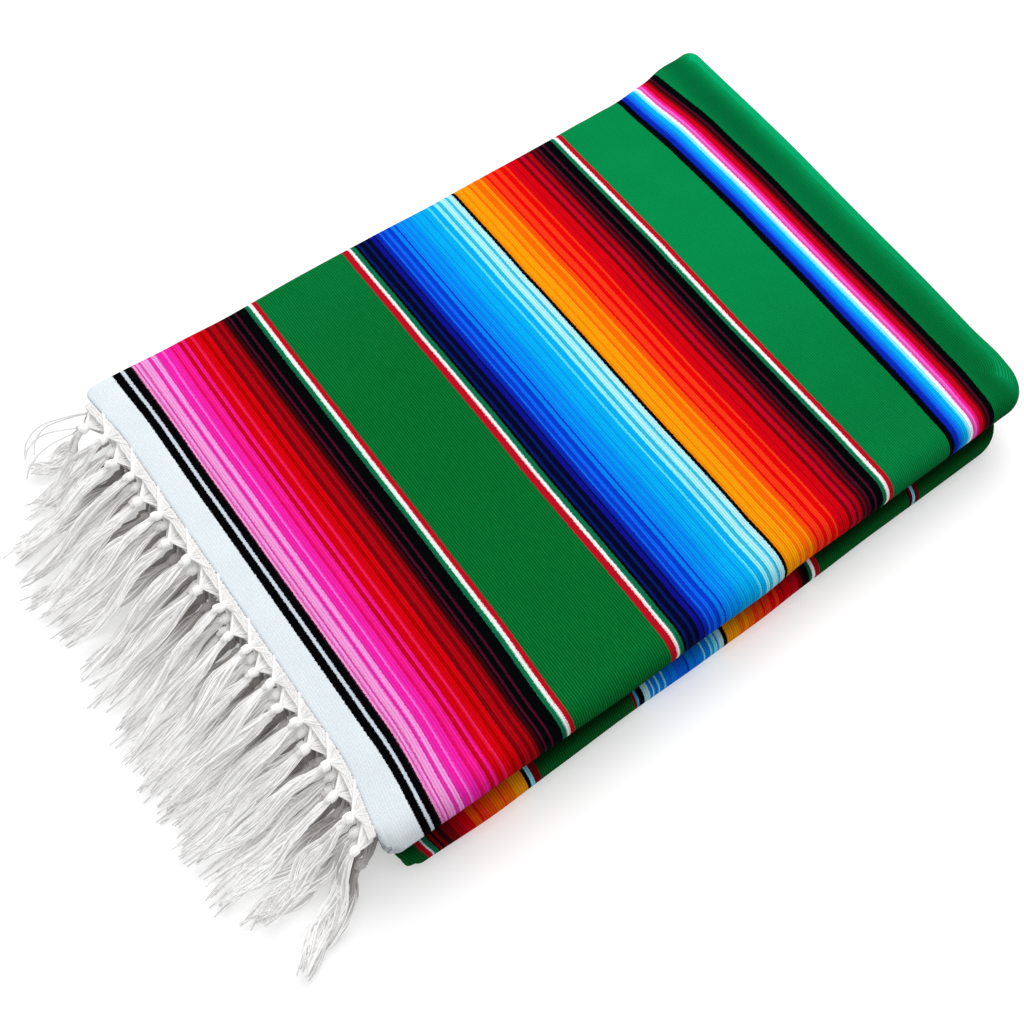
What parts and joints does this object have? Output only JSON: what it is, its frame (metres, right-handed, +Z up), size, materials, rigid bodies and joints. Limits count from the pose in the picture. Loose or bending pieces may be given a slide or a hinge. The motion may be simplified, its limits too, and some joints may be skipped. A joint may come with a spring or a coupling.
{
  "type": "folded mexican serape blanket",
  "caption": "Thick striped woven serape blanket folded into a flat layered bundle, with knotted fringe hanging from the layers at one end.",
  "frame": {"origin": "centre of the whole part's bounding box in plan, fringe included, on the plane it rests on", "axes": "+X runs along the bundle from the fringed end towards the last fold, +Y runs across it from the edge that shows both packages towards the layered far edge, +Z is up"},
  "size_m": [0.6392, 0.3928, 0.0646],
  "materials": {
    "striped_weave": "matte ribbed weave, green ground with many-coloured stripes",
    "fringe_yarn": "matte off-white yarn"
  },
  "bodies": {
    "root": {"folded_cloth": "striped_weave", "fringe_row_1": "fringe_yarn", "fringe_row_2": "fringe_yarn", "fringe_row_3": "fringe_yarn", "fringe_row_4": "fringe_yarn", "fringe_row_5": "fringe_yarn", "fringe_row_6": "fringe_yarn", "fringe_row_7": "fringe_yarn", "fringe_row_8": "fringe_yarn"}
  },
  "joints": []
}
